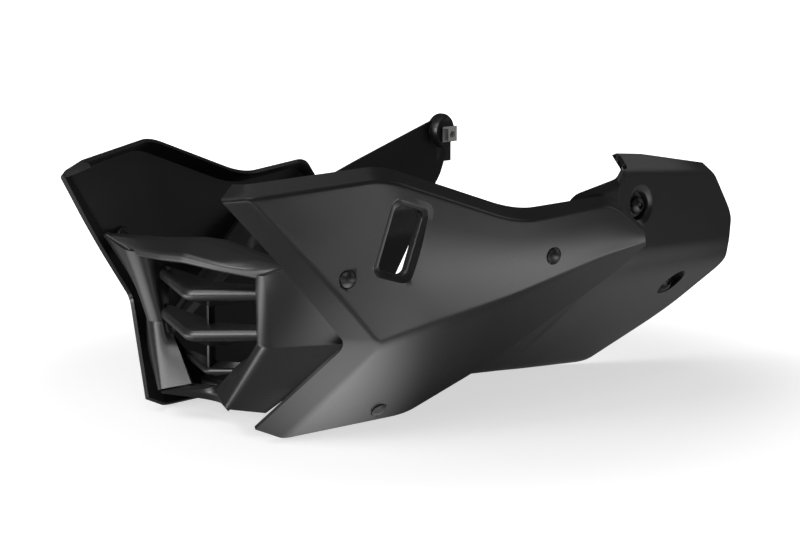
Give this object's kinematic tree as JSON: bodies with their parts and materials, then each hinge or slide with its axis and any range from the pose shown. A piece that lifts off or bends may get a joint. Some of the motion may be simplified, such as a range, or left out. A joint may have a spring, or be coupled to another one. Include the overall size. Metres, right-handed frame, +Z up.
{
  "type": "motorcycle belly pan",
  "caption": "Angular belly pan in satin black plastic: notched side panels with window slots and a slatted front grille, on a folded rear tray bolted up inside.",
  "frame": {"origin": "centre of the bounding box at floor level, with the pan standing on its flat underside", "axes": "+X towards the rear of the motorcycle, +Y towards its right-hand side, +Z up"},
  "size_m": [0.4539, 0.3504, 0.1846],
  "materials": {
    "panel_plastic": "satin moulded black",
    "grille_plastic": "satin moulded black",
    "tray_plastic": "satin moulded black",
    "rivet_nylon": "smooth black nylon",
    "bolt_steel": "black coated steel",
    "spacer_steel": "plain zinc plate",
    "clip_steel": "bright zinc plate",
    "grommet_rubber": "matt black rubber"
  },
  "bodies": {
    "root": {"left_side_panel": "panel_plastic", "right_side_panel": "panel_plastic", "front_grille": "grille_plastic", "rear_tray": "tray_plastic", "upper_bolt": "bolt_steel", "upper_spacer": "spacer_steel", "upper_grommet": "grommet_rubber", "lower_bolt": "bolt_steel", "lower_spacer": "spacer_steel", "lower_grommet": "grommet_rubber", "right_clip_nut": "clip_steel", "left_front_plunger": "rivet_nylon", "left_front_sleeve": "rivet_nylon", "left_rear_plunger": "rivet_nylon", "left_rear_sleeve": "rivet_nylon", "left_lower_plunger": "rivet_nylon", "left_lower_sleeve": "rivet_nylon", "right_front_plunger": "rivet_nylon", "right_front_sleeve": "rivet_nylon", "right_rear_plunger": "rivet_nylon", "right_rear_sleeve": "rivet_nylon", "right_lower_plunger": "rivet_nylon", "right_lower_sleeve": "rivet_nylon", "floor_plungers": "rivet_nylon", "floor_sleeves": "rivet_nylon"}
  },
  "joints": []
}
